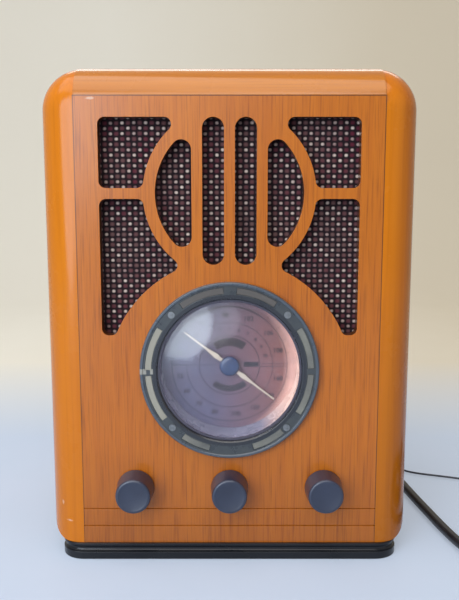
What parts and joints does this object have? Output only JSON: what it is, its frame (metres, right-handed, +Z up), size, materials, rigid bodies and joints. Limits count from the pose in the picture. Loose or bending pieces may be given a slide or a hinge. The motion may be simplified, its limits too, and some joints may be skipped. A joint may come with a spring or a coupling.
{
  "type": "table radio receiver",
  "caption": "Upright wooden table radio with rounded side mouldings, a pierced grille over cloth, a round domed dial, knobs, a black plinth, a mains cord and a wire aerial.",
  "frame": {"origin": "on the floor under the middle of the cabinet, half-way between the front panel's face and the back edge of the sides", "axes": "+X to the right as seen from the front, +Y towards the back, +Z up"},
  "size_m": [0.409, 0.2912, 0.32],
  "materials": {
    "front_veneer": "gloss",
    "side_wood": "gloss",
    "plain_wood": "matte",
    "black_lacquer": "gloss",
    "back_board": "matte",
    "steel": "satin",
    "cloth": "matte",
    "felt": "matte",
    "magnet": "matte",
    "surround": "matte",
    "spider": "matte",
    "cone_paper": "matte",
    "copper": "satin",
    "bezel": "gloss",
    "insert": "gloss",
    "ring": "gloss",
    "lens": "gloss",
    "dial_print": "satin",
    "housing": "matte",
    "lamp_glass": "gloss",
    "pointer_cream": "satin",
    "hub_navy": "gloss",
    "drum": "matte",
    "drive_line": "matte",
    "capacitor": "satin",
    "brass": "satin",
    "knob": "satin",
    "switch_board": "satin",
    "circuit_board": "satin",
    "post": "matte",
    "components": "satin",
    "ferrite": "matte",
    "laminations": "satin",
    "relief_rubber": "matte",
    "cord_black": "satin",
    "plug_black": "satin",
    "tie_white": "matte",
    "wire_dark": "satin"
  },
  "bodies": {
    "cabinet": {"plinth": "black_lacquer", "bottom_board": "plain_wood", "side_left": "side_wood", "side_right": "side_wood", "top_board": "side_wood", "front_panel": "front_veneer", "cabinet_battens": "plain_wood", "back_cover": "back_board", "back_screws": "steel", "grille_cloth": "cloth", "speaker_baffle": "plain_wood", "speaker_gasket": "felt", "speaker_basket": "steel", "speaker_yoke": "steel", "speaker_magnet": "magnet", "cone_surround": "surround", "speaker_spider": "spider", "dial_bezel": "bezel", "bezel_inserts": "insert", "bezel_screws": "steel", "lens_ring": "ring", "dial_lens": "lens", "dial_face": "dial_print", "dial_housing": "housing", "dial_lamps": "lamp_glass", "drive_cord": "drive_line", "tuning_capacitor": "capacitor", "control_bracket": "steel", "control_nuts": "brass", "volume_control": "steel", "band_switch": "switch_board", "tuning_bushing": "brass", "circuit_board": "circuit_board", "board_posts": "post", "board_components": "components", "aerial_rod": "ferrite", "inner_screws": "steel", "transformer_core": "laminations", "transformer_winding": "copper", "strain_relief": "relief_rubber", "power_cord": "cord_black", "power_cord_coil": "cord_black", "plug": "plug_black", "plug_pins": "brass", "cord_ties": "tie_white", "wire_grommet": "relief_rubber", "aerial_wire": "wire_dark", "aerial_wire_coil": "wire_dark"},
    "volume": {"volume_knob": "knob", "volume_shaft": "steel"},
    "band": {"band_knob": "knob", "band_shaft": "steel"},
    "tuning": {"tuning_knob": "knob", "tuning_shaft": "steel"},
    "pointer_drive": {"pointer": "pointer_cream", "pointer_hub": "hub_navy", "pointer_shaft": "steel", "dial_drum": "drum"},
    "cone": {"speaker_cone": "cone_paper", "voice_coil": "copper"}
  },
  "joints": [
    {"name": "volume_turn", "type": "hinge", "parent": "cabinet", "child": "volume", "pos_m": [-0.0617, -0.098, 0.0493], "axis": [0, 1, 0], "range_deg": [0, 300]},
    {"name": "band_turn", "type": "hinge", "parent": "cabinet", "child": "band", "pos_m": [0, -0.098, 0.0493], "axis": [0, 1, 0], "range_deg": [0, 60]},
    {"name": "tuning_turn", "type": "hinge", "parent": "cabinet", "child": "tuning", "pos_m": [0.0617, -0.098, 0.0493], "axis": [0, 1, 0], "range_deg": [-325, 1365]},
    {"name": "pointer_turn", "type": "hinge", "parent": "cabinet", "child": "pointer_drive", "pos_m": [0, -0.078, 0.1283], "axis": [0, 1, 0], "range_deg": [-33, 137]},
    {"name": "cone_travel", "type": "slide", "parent": "cabinet", "child": "cone", "axis": [0, 1, 0], "range_m": [-0.001, 0.001], "stiffness_N_per_m": 1500}
  ],
  "couplings": [
    {"joint": "pointer_turn", "follows": "tuning_turn", "ratio": 0.1}
  ]
}
